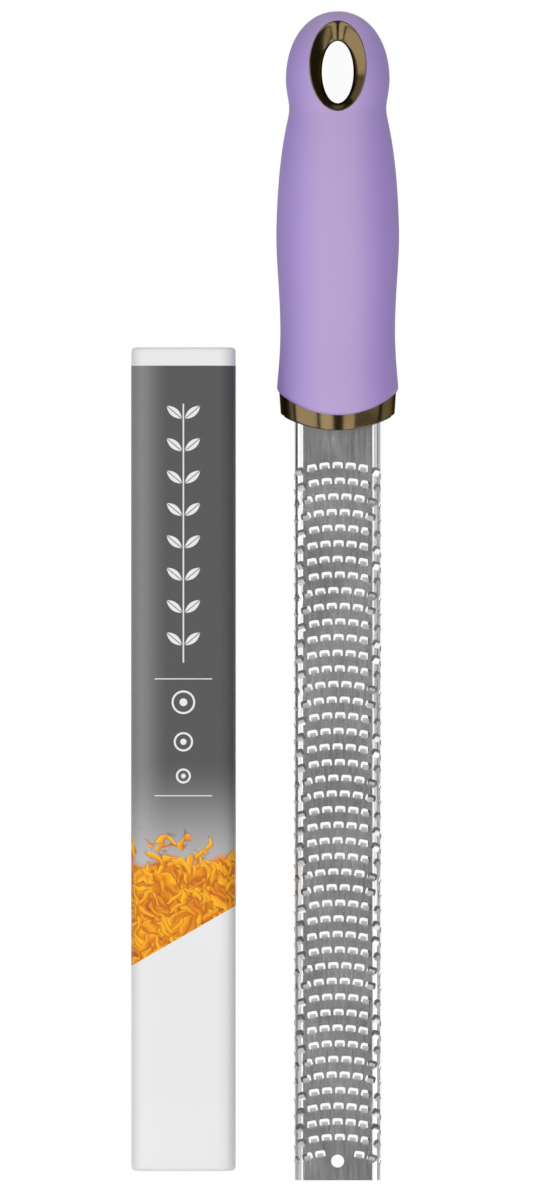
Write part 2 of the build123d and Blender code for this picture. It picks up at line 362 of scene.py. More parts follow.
def onSheet(across, along, turn):
    side = 1 if across > 0 else -1
    pastFlat = max(0, abs(across) - flatHalf)
    angle = min(pastFlat / bendMiddle, bendAngle)
    pastBend = pastFlat - bendMiddle * angle
    x = min(abs(across), flatHalf) + blade["bend"] * math.sin(angle) + pastBend * math.cos(angle)
    z = sheetTop - blade["bend"] * (1 - math.cos(angle)) - pastBend * math.sin(angle)
    leaned = Matrix.Rotation(side * angle, 4, "Y")
    return Matrix.Translation((side * x, along, z)) @ leaned @ Matrix.Rotation(-turn, 4, "Z")


def toothPlaces():
    places = []
    columns = int(teeth["reach"] / teeth["pitch"]) + 1
    for row in range(teeth["rows"]):
        apex = teeth["firstRow"] - row * teeth["rowPitch"]
        shift = teeth["shifts"][row % len(teeth["shifts"])]
        for column in range(-columns, columns + 1):
            swing = (column + shift) * teeth["pitch"] / teeth["rowRadius"]
            across = teeth["rowRadius"] * math.sin(swing)
            along = apex - teeth["rowRadius"] * (1 - math.cos(swing))
            clear = math.hypot(across, along - tipHole["place"]) > teeth["clearOfTipHole"]
            if abs(across) <= teeth["reach"] and clear:
                places.append(onSheet(across, along, swing))
    return places


def toothHole():
    bm = bmesh.new()
    below = Matrix.Translation((0, 0, -teeth["cutBelow"]))
    halves = Matrix.Diagonal((teeth["holeWidth"] / 2, teeth["holeLength"] / 2, 1, 1))
    bmesh.ops.create_grid(bm, x_segments=1, y_segments=1, size=1, matrix=below @ halves)
    far = [vert for vert in bm.verts if vert.co.y > 0]
    near = [vert for vert in bm.verts if vert.co.y < 0]
    for corners, share in ((far, 1.0), (near, teeth["nearCornerShare"])):
        rounded(bm, corners, teeth["holeCorner"] * share, 3)
    wall = bmesh.ops.extrude_face_region(bm, geom=bm.faces[:])["geom"]
    bmesh.ops.translate(bm, vec=(0, 0, teeth["cutHeight"]), verts=vertsOf(wall))
    bmesh.ops.recalc_face_normals(bm, faces=bm.faces)
    return meshFrom(bm, "toothHole")


def tongue():
    bm = bmesh.new()
    bmesh.ops.create_grid(bm, x_segments=2, y_segments=4, size=0.5)
    root = -teeth["holeLength"] / 2 - teeth["tongueRoot"]
    length = teeth["tongueLength"] + teeth["tongueRoot"]
    for vert in bm.verts:
        # reach runs from 0 at the root to 1 at the cutting edge, whose two corners are cut back
        reach = vert.co.y + 0.5
        side = vert.co.x * teeth["tongueWidth"] * (1 + teeth["taper"] * (1 - reach))
        corner = teeth["cornerCut"] * (abs(vert.co.x) > 0.4) * (reach > 0.9)
        lift = teeth["rise"] * reach ** teeth["riseCurve"] - sheetTop * teeth["sunkShare"]
        vert.co = (side * (1 - corner), root + length * (reach - 0.4 * corner), lift)
    under = bmesh.ops.extrude_face_region(bm, geom=bm.faces[:])["geom"]
    for vert in vertsOf(under):
        reach = (vert.co.y - root) / length
        vert.co.z -= blade["sheet"] * teeth["rootShare"] * (1 - reach) + teeth["edge"] * reach
    bmesh.ops.recalc_face_normals(bm, faces=bm.faces)
    return meshFrom(bm, "tongue")


def addCopies(bm, mesh, places):
    for place in places:
        before = len(bm.verts)
        bm.from_mesh(mesh)
        bm.verts.ensure_lookup_table()
        bmesh.ops.transform(bm, matrix=place, verts=bm.verts[before:])


def makeBlade():
    places = toothPlaces()
    cutters = bmesh.new()
    addCopies(cutters, toothHole(), places)
    through = Matrix.Translation((0, tipHole["place"], 0))
    bmesh.ops.create_cone(cutters, cap_ends=True, segments=tipHole["segments"],
                          radius1=tipHole["radius"], radius2=tipHole["radius"], depth=2, matrix=through)
    etched = cutAway(meshFrom(bladeSheet(), "channel"), meshFrom(cutters, "etching"))
    bm = bmesh.new()
    bm.from_mesh(etched)
    tangMiddle = blade["socketEnd"] + (blade["tangLength"] - blade["tangLap"]) / 2
    tangPlace = Matrix.Translation((0, tangMiddle, 0))
    tangAlong = blade["tangLength"] + blade["tangLap"]
    tangSize = Matrix.Diagonal((blade["tangWidth"], tangAlong, blade["sheet"], 1))
    bmesh.ops.create_cube(bm, size=1, matrix=tangPlace @ tangSize)
    sunk = Matrix.Translation((0, 0, -teeth["edgeSink"]))
    inner = [place for place in places if abs(place.translation.x) <= teeth["edgeFrom"]]
    outer = [place @ sunk for place in places if abs(place.translation.x) > teeth["edgeFrom"]]
    addCopies(bm, tongue(), inner + outer)
    return meshFrom(bm, "blade")


steelLook, tree, shader = newLook("etchedSteel", {"Metallic": 1.0})
spot = millimetres(tree, laidDown)
rolled = times(tree, grain(tree, spot, 1.0, blade["rolledStretch"]), blade["rolledShare"])
mottled = times(tree, grain(tree, spot, blade["mottleScale"]), blade["mottleShare"])
tone = plus(tree, rolled, mottled)
patches = times(tree, handling(tree, spot, blade["patchScale"]), blade["patchDulling"])
steel = blendColours(tree, spread(tree, tone, 0, 1, *blade["toneSpan"]), blade["dark"], blade["light"])
dulled = plus(tree, spread(tree, tone, *blade["roughness"], *blade["toneSpan"]), patches)
dress(tree, shader, steel, dulled, tone, blade["bump"])
finishPiece("bladeEtched", makeBlade(), laidDown, steelLook, "zester", "blade",
            blade["sharpAngle"])


# Handle: one oval body, measured across at stations along it, shared by grip, ferrule and eyelet
handle = {
    "foot": 213.2,
    "top": 325.3,
    "headMiddle": 306.1,
    "headHalf": 14.43,
    "headPower": 2.12,
    "flatness": 0.8,
    "stations": (
        (306.1, 14.43), (302.6, 14.08), (299.9, 13.62), (298.3, 13.46), (296.7, 13.62), (292.4, 14.5),
        (287.0, 15.4), (281.0, 16.13), (274.3, 16.66), (267.0, 17.0), (261.0, 17.06), (255.0, 16.8),
        (248.0, 16.36), (241.0, 16.03), (235.0, 15.96), (229.0, 16.2), (224.0, 16.6), (220.6, 16.86),
        (205.0, 16.9),
    ),
    "sag": 6.7,
    "lip": 1.0,
    "wall": 2.0,
    "arcHalf": 17.05,
    "edgeRounds": 12,
    "segments": 96,
    "headLoops": 22,
    "bodyLoops": 56,
    "lipLoops": 5,
    "lastShare": 0.018,
    "innerShare": 0.03,
    "mergeWithin": 0.002,
    # lighter, paler middle and darker sides: a painted highlight along the middle and painted shade at
    # the sides
    "paintedLitCentreColour": (0.475, 0.352, 0.655),
    "paintedShadeSideColour": (0.372, 0.252, 0.635),
    "paintedShadeSpan": (3.0, 14.0),
    "poreColour": (0.36, 0.26, 0.53),
    "poreShare": 0.10,
    "poreScale": 2.2,
    "patchScale": 0.045,
    "patchPolish": -0.05,
    "roughness": (0.50, 0.60, 0.3, 0.7),
    "bump": (0.02, 0.4),
    "sharpAngle": 40,
}


def smoothThrough(stations, at):
    # a smooth curve through the stations, level at both ends
    spans = list(zip(stations, stations[1:]))
    slopes = [(b[1] - a[1]) / (b[0] - a[0]) for a, b in spans]
    ends = [0.0] + [(before + after) / 2 for before, after in zip(slopes, slopes[1:])] + [0.0]
    for index, (a, b) in enumerate(spans):
        if b[0] <= at <= a[0]:
            step = b[0] - a[0]
            share = (at - a[0]) / step
            back = share - 1
            first = back ** 2 * ((2 * share + 1) * a[1] + share * step * ends[index])
            second = share ** 2 * ((3 - 2 * share) * b[1] + back * step * ends[index + 1])
            return first + second
    return stations[-1][1]


def handleHalf(y, inset=0.0):
    if y > handle["headMiddle"]:
        rise = (y - handle["headMiddle"]) / (handle["top"] - inset - handle["headMiddle"])
        power = handle["headPower"]
        return (handle["headHalf"] - inset) * max(0, 1 - rise ** power) ** (1 / power)
    return smoothThrough(handle["stations"], y) - inset


def arcRise(x, sag, half=handle["arcHalf"]):
    radius = (half ** 2 + sag ** 2) / (2 * sag)
    return radius - math.sqrt(radius ** 2 - min(abs(x), radius) ** 2)


def onHandle(turn, foot, sag, above, inset=0.0, share=None):
    # a point of the oval, above an edge that hangs lowest in the middle
    y = foot
    for _ in range(handle["edgeRounds"]):
        half = handleHalf(y, inset)
        edge = foot + arcRise(half * math.cos(turn), sag)
        y = edge + above if share is None else edge + share * (handle["top"] - inset - edge)
    return Vector((half * math.cos(turn), y, half * handle["flatness"] * math.sin(turn)))


def makeGrip():
    bm = bmesh.new()
    head, body, lip = handle["headLoops"], handle["bodyLoops"], handle["lip"]
    headShare = (handle["headMiddle"] - handle["foot"]) / (handle["top"] - handle["foot"])
    quarters = [math.pi / 2 * step / head for step in range(head + 1)]
    shares = [1 - (1 - headShare) * (1 - math.cos(quarter)) for quarter in quarters]
    for step in range(1, body + 1):
        shares.append(headShare * (1 - step / body) + handle["lastShare"] * step / body)

    def loop(above, inset, share=None):
        return lambda turn: onHandle(turn, handle["foot"], handle["sag"], above, inset, share)

    rim = startLoop(bm, handle["segments"], loop(0, 0, shares[0]))
    for share in shares[1:]:
        rim = nextLoop(bm, rim, loop(0, 0, share))
    for step in range(handle["lipLoops"] + 1):
        quarter = math.pi / 2 * step / handle["lipLoops"]
        rim = nextLoop(bm, rim, loop(lip * (1 - math.sin(quarter)), lip * (1 - math.cos(quarter))))
    rim = nextLoop(bm, rim, loop(0, handle["wall"]))
    for share in reversed(shares[::4] + [handle["innerShare"]]):
        rim = nextLoop(bm, rim, loop(0, handle["wall"], share))
    bmesh.ops.remove_doubles(bm, verts=bm.verts, dist=handle["mergeWithin"])
    bmesh.ops.recalc_face_normals(bm, faces=bm.faces)
    return bm


# Eyelet: an oval dish let into each face of the head, level with its slope, round the hanging hole
eyelet = {
    "centre": 310.2,
    "halfWidth": 8.0,
    "halfLength": 12.55,
    "rim": 0.2,
    "holeCentre": 308.4,
    "holeHalfWidth": 4.4,
    "holeHalfLength": 8.65,
    "throatHeight": 7.05,
    "swell": 0.22,
    "slope": 0.184,
    "segments": 96,
    "rimLoops": ((0, -0.6), (0, -0.1), (0.04, -0.02), (0.1, 0.0)),
    "dishSpan": (0.02, 0.88),
    "dishLoops": 7,
    "throatLoops": ((0.92, 0.04), (0.96, 0.13), (0.99, 0.3), (1, 0.6)),
    "barLength": 40,
    "mergeWithin": 0.0005,
}


def rimPoint(turn, inset, lift):
    x = (eyelet["halfWidth"] - inset) * math.cos(turn)
    y = eyelet["centre"] + (eyelet["halfLength"] - inset) * math.sin(turn)
    return Vector((x, y, handle["flatness"] * math.sqrt(handleHalf(y) ** 2 - x ** 2) + lift))


def throatPoint(turn, height=None):
    x = eyelet["holeHalfWidth"] * math.cos(turn)
    rise = eyelet["holeHalfLength"] * math.sin(turn)
    z = eyelet["throatHeight"] - eyelet["slope"] * rise if height is None else height
    return Vector((x, eyelet["holeCentre"] + rise, z))


def dishPoint(turn, share):
    # share 0 is the rim's inner edge and 1 the throat, and the sides swell a little between them
    swell = eyelet["swell"] * 4 * share * (1 - share) * abs(math.cos(turn))
    return rimPoint(turn, eyelet["rim"], 0).lerp(throatPoint(turn), share) + Vector((0, 0, swell))


def makeEyelet(side):
    bm = bmesh.new()

    def outerFoot(turn):
        point = rimPoint(turn, 0, 0)
        return Vector((point.x, point.y, 0))

    rim = startLoop(bm, eyelet["segments"], outerFoot)
    for inset, lift in eyelet["rimLoops"]:
        rim = nextLoop(bm, rim, lambda turn: rimPoint(turn, inset, lift))
    first, last = eyelet["dishSpan"]
    for step in range(eyelet["dishLoops"] + 1):
        share = first + (last - first) * step / eyelet["dishLoops"]
        rim = nextLoop(bm, rim, lambda turn: dishPoint(turn, share))
    for share, drop in eyelet["throatLoops"]:
        rim = nextLoop(bm, rim, lambda turn: dishPoint(turn, share) - Vector((0, 0, drop)))
    rim = nextLoop(bm, rim, lambda turn: throatPoint(turn, 0))
    nextLoop(bm, rim, outerFoot)
    bmesh.ops.remove_doubles(bm, verts=bm.verts, dist=eyelet["mergeWithin"])
    if side < 0:
        bmesh.ops.scale(bm, vec=(1, 1, -1), verts=bm.verts)
    bmesh.ops.recalc_face_normals(bm, faces=bm.faces)
    return meshFrom(bm, "eyelet")


def eyeletBar():
    bm = bmesh.new()
    halves = Matrix.Diagonal((eyelet["halfWidth"], eyelet["halfLength"], 1, 1))
    bmesh.ops.create_cone(bm, cap_ends=True, segments=eyelet["segments"], radius1=1, radius2=1,
                          depth=eyelet["barLength"],
                          matrix=Matrix.Translation((0, eyelet["centre"], 0)) @ halves)
    return meshFrom(bm, "eyeletBar")


gripLook, tree, shader = newLook("softLavender", {"Specular IOR Level": 0.6})
spot = millimetres(tree, laidDown)
pores = grain(tree, spot, handle["poreScale"])
patches = times(tree, handling(tree, spot, handle["patchScale"]), handle["patchPolish"])
# the colour turns from the lighter middle to the darker sides across the grip: painted highlight along
# the middle, painted shade at the sides
across = addNode(tree, "ShaderNodeSeparateXYZ", {0: spot}).outputs[0]
towardsPaintedShade = spread(tree, unsigned(tree, across), 0, 1, *handle["paintedShadeSpan"], "SMOOTHSTEP")
paintedShading = blendColours(tree, towardsPaintedShade, handle["paintedLitCentreColour"], handle["paintedShadeSideColour"])
speckles = spread(tree, pores, 0, handle["poreShare"], 0.4, 0.7)
speckled = blendColours(tree, speckles, paintedShading, handle["poreColour"])
worn = plus(tree, spread(tree, pores, *handle["roughness"]), patches)
dress(tree, shader, speckled, worn, pores, handle["bump"])
gripMesh = cutAway(meshFrom(makeGrip(), "gripSkin"), eyeletBar())
finishPiece("gripSoft", gripMesh, laidDown, gripLook, "zester", "grip",
            handle["sharpAngle"])


# Ferrule: the collar that shows between grip and blade, with the plating that it shares with the eyelet
ferrule = {
    "foot": 209.0,
    "sag": 4.7,
    "arcHalf": 16.4,
    "half": 16.35,
    "inner": 14.86,
    "straightTop": 5.0,
    "hiddenTop": 6.2,
    "round": 0.3,
    "roundLoops": 4,
    "taper": 0.48,
    "mergeWithin": 0.0005,
}
bronze = {
    "light": (0.177, 0.126, 0.061),
    "dark": (0.147, 0.105, 0.05),
    "tint": (0.2, 0.22, 0.25, 1),
    "grainStretch": (0.7, 4.0, 0.7),
    "patchScale": 0.12,
    "roughness": (0.11, 0.19, 0.3, 0.7),
    "bump": (0.006, 0.3),
    "sharpAngle": 50,
}


def onCollar(turn, half, sag, above):
    x, z = half * math.cos(turn), half * handle["flatness"] * math.sin(turn)
    return Vector((x, ferrule["foot"] + arcRise(x, sag, ferrule["arcHalf"]) + above, z))


def makeFerrule():
    bm = bmesh.new()
    sag, half, inner, hidden = ferrule["sag"], ferrule["half"], ferrule["inner"], ferrule["hiddenTop"]
    rim = startLoop(bm, handle["segments"], lambda turn: onCollar(turn, half, handle["sag"], hidden))
    rim = nextLoop(bm, rim, lambda turn: onCollar(turn, half, handle["sag"], ferrule["straightTop"]))
    for step in range(ferrule["roundLoops"] + 1):
        quarter = math.pi / 2 * step / ferrule["roundLoops"]
        above = ferrule["round"] * (1 - math.sin(quarter))
        inset = ferrule["taper"] + ferrule["round"] * (1 - math.cos(quarter))
        rim = nextLoop(bm, rim, lambda turn: onCollar(turn, half - inset, sag, above))
    rim = nextLoop(bm, rim, lambda turn: onCollar(turn, inner, sag, 0.0))
    rim = nextLoop(bm, rim, lambda turn: onCollar(turn, inner, handle["sag"], hidden))
    nextLoop(bm, rim, lambda turn: onCollar(turn, half, handle["sag"], hidden))
    bmesh.ops.remove_doubles(bm, verts=bm.verts, dist=ferrule["mergeWithin"])
    bmesh.ops.recalc_face_normals(bm, faces=bm.faces)
    return meshFrom(bm, "collar")


bronzeLook, tree, shader = newLook("bronzePlating", {"Metallic": 1.0, "Specular Tint": bronze["tint"]})
spot = millimetres(tree, laidDown)
turned = grain(tree, spot, 1.0, bronze["grainStretch"])
patches = times(tree, handling(tree, spot, bronze["patchScale"]), 0.5)
plating = blendColours(tree, patches, bronze["light"], bronze["dark"])
dress(tree, shader, plating, spread(tree, turned, *bronze["roughness"]), turned, bronze["bump"])
for name, mesh, node in (
    ("ferruleCollar", makeFerrule(), "ferrule"),
    ("eyeletFace", makeEyelet(1), "eyelet_front"),
    ("eyeletRear", makeEyelet(-1), "eyelet_back"),
):
    finishPiece(name, mesh, laidDown, bronzeLook, "zester", node, bronze["sharpAngle"])


# Cover: a moulded sheath, open at its handle end
cover = {
    "width": coverHigh.x / mm - coverLow.x / mm,
    "length": coverHigh.y / mm - coverLow.y / mm,
    "thickness": coverHigh.z / mm - coverLow.z / mm,
    "corner": 5.5,
    "wall": 1.2,
    "cornerSteps": 12,
    "endRound": 1.2,
    "endSteps": 5,
    "mouthRound": 1.1,
    "mouthSteps": 4,
    "colour": (0.87, 0.87, 0.87),
    "shade": (0.83, 0.83, 0.83),
    "grainScale": 0.9,
    "patchScale": 0.03,
    "roughness": (0.33, 0.43, 0.3, 0.7),
    "bump": (0.01, 0.25),
    "sharpAngle": 40,
}


def makeCover():
    bm = bmesh.new()
    lengths = Matrix.Diagonal((cover["width"], cover["length"], cover["thickness"], 1))
    middle = Matrix.Translation((0, cover["length"] / 2, cover["thickness"] / 2))
    bmesh.ops.create_cube(bm, size=1, matrix=middle @ lengths)
    long = [edge for edge in bm.edges if abs(edge.verts[0].co.y - edge.verts[1].co.y) > 1]
    rounded(bm, long, cover["corner"], cover["cornerSteps"])
    closed = [edge for edge in bm.edges if max(vert.co.y for vert in edge.verts) < 0.01]
    rounded(bm, closed, cover["endRound"], cover["endSteps"])
    mouth = [face for face in bm.faces if min(vert.co.y for vert in face.verts) > cover["length"] - 0.01]
    bmesh.ops.delete(bm, geom=mouth, context="FACES")
    brim = {vert for edge in bm.edges if edge.is_boundary for vert in edge.verts}
    bmesh.ops.solidify(bm, geom=bm.faces[:], thickness=cover["wall"])
    outer = [edge for edge in bm.edges if edge.verts[0] in brim and edge.verts[1] in brim]
    rounded(bm, outer, cover["mouthRound"], cover["mouthSteps"])
    return meshFrom(bm, "sheath")


coverLook, tree, shader = newLook("whiteMoulding", {"Specular IOR Level": 0.35})
spot = millimetres(tree, besideIt)
moulded = grain(tree, spot, cover["grainScale"])
patches = times(tree, handling(tree, spot, cover["patchScale"]), 0.5)
plastic = blendColours(tree, patches, cover["colour"], cover["shade"])
dress(tree, shader, plastic, spread(tree, moulded, *cover["roughness"]), moulded, cover["bump"])
finishPiece("coverSheath", makeCover(), besideIt, coverLook, "cover", "cover_shell",
            cover["sharpAngle"])


# Label: printed card round the cover's face and its upper sides, cut off at a slant
label = {
    "start": 4.7,
    "shortLength": 150.6,
    "longLength": 167.3,
    "skirt": 0.3,
    "proud": 0.06,
    "card": 0.25,
    "cornerSteps": 12,
    "cutSpare": 4,
    "sprig": (11, 83),
    "leafStep": 9.0,
    "leafPlace": 0.72,
    "leafLean": (0.77, 0.64),
    "leafGap": 0.5,
    "leafLength": 5.6,
    "leafWidth": 2.3,
    "veinHalf": 0.11,
    "stemHalf": 0.2,
    "rings": ((94, 3.0), (105, 2.4), (114.5, 1.8)),
    "ringHalf": 0.28,
    "dotShare": 0.36,
    "rules": (87.5, 120),
    "ruleHalf": 0.14,
    "ruleReach": 8.0,
    "paintedEdgeHighlightHalf": 0.4,
    "right": (0.091, 0.091, 0.092),
    # a painted highlight on the label's left corner, lighter than the ground
    "left": (0.24, 0.24, 0.24),
    "leftSpan": (-13, -4),
    "pale": (0.62, 0.60, 0.61),
    "paleSpan": (109, 150),
    "fibre": (0.14, 0.14, 0.14),
    "fibreShare": 0.12,
    "fibreScale": 1.8,
    "fibreStretch": (1, 0.4, 1),
    "ink": (0.86, 0.86, 0.86),
    "roughness": (0.33, 0.42, 0.3, 0.7),
    "bump": (0.01, 0.2),
    "sharpAngle": 40,
}


def makeLabel():
    bm = bmesh.new()
    half = cover["width"] / 2 + label["proud"]
    top = cover["thickness"] + label["proud"]
    corner = cover["corner"] + label["proud"]
    skirt = cover["thickness"] * label["skirt"]
    start = cover["length"] - label["start"]
    ends = [bm.verts.new((half, start, skirt)), bm.verts.new((half, start, top - corner))]
    bm.edges.new(ends)
    centre = (half - corner, start, top - corner)
    bmesh.ops.spin(bm, geom=[ends[1]], cent=centre, axis=(0, -1, 0), angle=math.pi / 2,
                   steps=label["cornerSteps"])
    highest = min(bm.verts, key=lambda vert: vert.co.x)
    middle = vertsOf(bmesh.ops.extrude_vert_indiv(bm, verts=[highest])["verts"])
    for vert in middle:
        vert.co.x = 0
    bmesh.ops.mirror(bm, geom=bm.verts[:] + bm.edges[:], axis="X", merge_dist=mergeWithin)
    long = bmesh.ops.extrude_edge_only(bm, edges=bm.edges[:])["geom"]
    bmesh.ops.translate(bm, vec=(0, -label["longLength"] - label["cutSpare"], 0), verts=vertsOf(long))
    slant = (label["longLength"] - label["shortLength"]) / cover["width"]
    cutPlace = Vector((0, start - (label["longLength"] + label["shortLength"]) / 2, 0))
    cutAcross = Vector((slant, -1, 0)).normalized()
    bmesh.ops.bisect_plane(bm, geom=bm.verts[:] + bm.edges[:] + bm.faces[:], plane_co=cutPlace,
                           plane_no=cutAcross, clear_outer=True)
    thicken(bm, label["card"])
    return meshFrom(bm, "card")


labelLook, tree, shader = newLook("printedCard", {"Specular IOR Level": 0.25})
spot = millimetres(tree, besideIt)
fibres = grain(tree, spot, label["fibreScale"], label["fibreStretch"])
parts = addNode(tree, "ShaderNodeSeparateXYZ", {0: spot}).outputs
down = minus(tree, cover["length"] - label["start"], parts[1])
aside = unsigned(tree, parts[0])


def within(value, low, high, soft=0.06):
    rising = spread(tree, value, 0, 1, low - soft, low + soft)
    falling = spread(tree, value, 1, 0, high - soft, high + soft)
    return times(tree, rising, falling)


def squared(value, middle):
    return maths(tree, "POWER", unsigned(tree, minus(tree, value, middle)), 2.0)


# a sprig: a stem with a pair of leaves at every step
step = maths(tree, "MODULO", down, label["leafStep"])
dropped = minus(tree, step, label["leafStep"] * label["leafPlace"])
leanOut, leanUp = label["leafLean"]
leafAlong = minus(tree, times(tree, aside, leanOut), times(tree, dropped, leanUp))
leafAcross = unsigned(tree, plus(tree, times(tree, aside, leanUp), times(tree, dropped, leanOut)))
halfLeaf = label["leafLength"] / 2
fromMiddle = squared(leafAlong, halfLeaf + label["leafGap"])
belly = minus(tree, 1.0, maths(tree, "DIVIDE", fromMiddle, halfLeaf ** 2))
leafEdge = times(tree, belly, label["leafWidth"] / 2)
leaves = spread(tree, minus(tree, leafEdge, leafAcross), 0, 1, -0.05, 0.05)
leaves = times(tree, leaves, minus(tree, 1.0, within(leafAcross, -1, label["veinHalf"])))
stem = within(aside, -1, label["stemHalf"])
sprig = times(tree, maths(tree, "MAXIMUM", leaves, stem), within(down, *label["sprig"]))

# rings with a dot, and a rule above and below them
white = sprig
for place, radius in label["rings"]:
    fromRing = maths(tree, "SQRT", plus(tree, squared(down, place), squared(aside, 0)))
    ring = within(fromRing, radius - label["ringHalf"], radius + label["ringHalf"])
    dot = within(fromRing, -1, radius * label["dotShare"])
    white = maths(tree, "MAXIMUM", white, maths(tree, "MAXIMUM", ring, dot))
for place in label["rules"]:
    line = within(down, place - label["ruleHalf"], place + label["ruleHalf"])
    rule = times(tree, line, within(aside, -1, label["ruleReach"]))
    white = maths(tree, "MAXIMUM", white, rule)
# a thin white line along the label's top edge: a painted highlight on that edge
white = maths(tree, "MAXIMUM", white, within(down, -1, label["paintedEdgeHighlightHalf"]))

# ground of the print, paling towards the slanted edge, with a painted highlight that lightens it towards
# the left corner
tone = spread(tree, down, 0, 1, *label["paleSpan"], "SMOOTHSTEP")
towardsPaintedHighlight = spread(tree, parts[0], 1, 0, *label["leftSpan"], "SMOOTHSTEP")
ground = blendColours(tree, towardsPaintedHighlight, label["right"], label["left"])
ground = blendColours(tree, tone, ground, label["pale"])
speckles = spread(tree, fibres, 0, label["fibreShare"], 0.4, 0.7)
printed = blendColours(tree, speckles, ground, label["fibre"])

# shreds, heaped along the slanted edge and scattered above it, in layers that each lie another way
shreds = {
    "edge": 136,
    "layers": ((12, 0.8), (72, 0.75), (128, 0.65), (-34, 0.6), (97, 0.4), (40, 0.4)),
    "lengthways": 0.15,
    "across": 0.52,
    "bend": 6.0,
    "bendScale": 0.2,
    "wave": (0.42, 1.5),
    "scatter": (-9, 6),
    "heapFade": (1, 3),
    "litSpan": (-0.4, 0.4),
    "litScatter": (-0.45, 0.35),
    "bodySpan": (0.36, 0.42),
    "shadowSpan": (0.38, 0.56),
    "shadowShare": 0.8,
    "deep": (0.62, 0.16, 0.002),
    "middle": (0.97, 0.35, 0.002),
    "bright": (1.0, 0.55, 0.012),
    "shadow": (0.62, 0.45, 0.35),
}
noise = {"Vector": spot, "Scale": shreds["bendScale"], "Detail": 1}
bendNoise = addNode(tree, "ShaderNodeTexNoise", noise).outputs["Color"]
bent = vectorMaths(tree, "MULTIPLY_ADD", bendNoise, (shreds["bend"], shreds["bend"], 0), spot)[0]
waves, waveHeight = shreds["wave"]
edge = times(tree, maths(tree, "SINE", times(tree, parts[0], waves)), waveHeight)
depth = minus(tree, down, plus(tree, edge, shreds["edge"]))
heap = blendColours(tree, bendNoise, shreds["deep"], shreds["middle"])
printed = blendColours(tree, spread(tree, depth, 0, 1, *shreds["heapFade"]), printed, heap)
for turn, share in shreds["layers"]:
    angle = math.radians(turn)
    turning = {"Vector": bent, "Angle": -angle}
    turned = addNode(tree, "ShaderNodeVectorRotate", turning, rotation_type="Z_AXIS").outputs[0]
    pressing = (shreds["lengthways"], shreds["across"], 0)
    pressed = vectorMaths(tree, "MULTIPLY_ADD", turned, pressing, (turn, turn, 0))[0]
    laid = {"Vector": pressed, "Scale": 1}
    cells = addNode(tree, "ShaderNodeTexVoronoi", laid, voronoi_dimensions="2D").outputs
    picks = addNode(tree, "ShaderNodeSeparateColor", {0: cells["Color"]}).outputs
    offMiddle = vectorMaths(tree, "SUBTRACT", pressed, cells["Position"])[0]
    offParts = addNode(tree, "ShaderNodeSeparateXYZ", {0: offMiddle}).outputs
    # how far down the label the shred's own middle lies, so that each one shows whole or not at all
    rise = (math.sin(angle) / shreds["lengthways"], math.cos(angle) / shreds["across"], 0)
    toMiddle = vectorMaths(tree, "DOT_PRODUCT", offMiddle, rise)["Value"]
    scattered = plus(tree, plus(tree, depth, toMiddle), spread(tree, picks[1], *shreds["scatter"]))
    shown = spread(tree, scattered, 0, 1, -0.2, 0.2)
    shown = times(tree, shown, maths(tree, "LESS_THAN", picks[2], share))
    body = times(tree, spread(tree, cells["Distance"], 1, 0, *shreds["bodySpan"]), shown)
    under = times(tree, spread(tree, cells["Distance"], 1, 0, *shreds["shadowSpan"]), shown)
    lit = plus(tree, spread(tree, offParts[1], 0, 1, *shreds["litSpan"]),
               spread(tree, picks[0], *shreds["litScatter"]))
    shred = blendColours(tree, spread(tree, lit, 0, 1, 0.0, 0.5), shreds["deep"], shreds["middle"])
    shred = blendColours(tree, spread(tree, lit, 0, 1, 0.5, 1.0), shred, shreds["bright"])
    shade = times(tree, under, shreds["shadowShare"])
    printed = blendColours(tree, shade, printed, shreds["shadow"], "MULTIPLY")
    printed = blendColours(tree, body, printed, shred)
printed = blendColours(tree, white, printed, label["ink"])
dress(tree, shader, printed, spread(tree, fibres, *label["roughness"]), fibres, label["bump"])
finishPiece("coverLabel", makeLabel(), besideIt, labelLook, "cover", "cover_label",
            label["sharpAngle"])


# Pieces that keep their CAD shape get their looks here
inside = (
    {
        "look": "corePlastic",
        "plain": {"Specular IOR Level": 0.4},
        "grainScale": 0.8,
        "colours": ((0.022, 0.020, 0.022), (0.036, 0.033, 0.036)),
        "roughness": (0.48, 0.62, 0.3, 0.7),
        "bump": (0.02, 0.3),
        "nodes": ("core_front", "core_back"),
    },
    {
        "look": "screwSteel",
        "plain": {"Metallic": 1.0},
        "grainScale": 2.0,
        "colours": ((0.42, 0.42, 0.43), (0.54, 0.54, 0.55)),
        "roughness": (0.28, 0.42, 0.3, 0.7),
        "bump": (0.01, 0.3),
        "nodes": ("core_screws",),
    },
)
for part in inside:
    look, tree, shader = newLook(part["look"], part["plain"])
    fine = grain(tree, millimetres(tree, laidDown), part["grainScale"])
    colour = blendColours(tree, fine, *part["colours"])
    dress(tree, shader, colour, spread(tree, fine, *part["roughness"]), fine, part["bump"])
    for node in part["nodes"]:
        frame["nodes"][node].data.materials.clear()
        frame["nodes"][node].data.materials.append(look)
print("core pieces dressed")


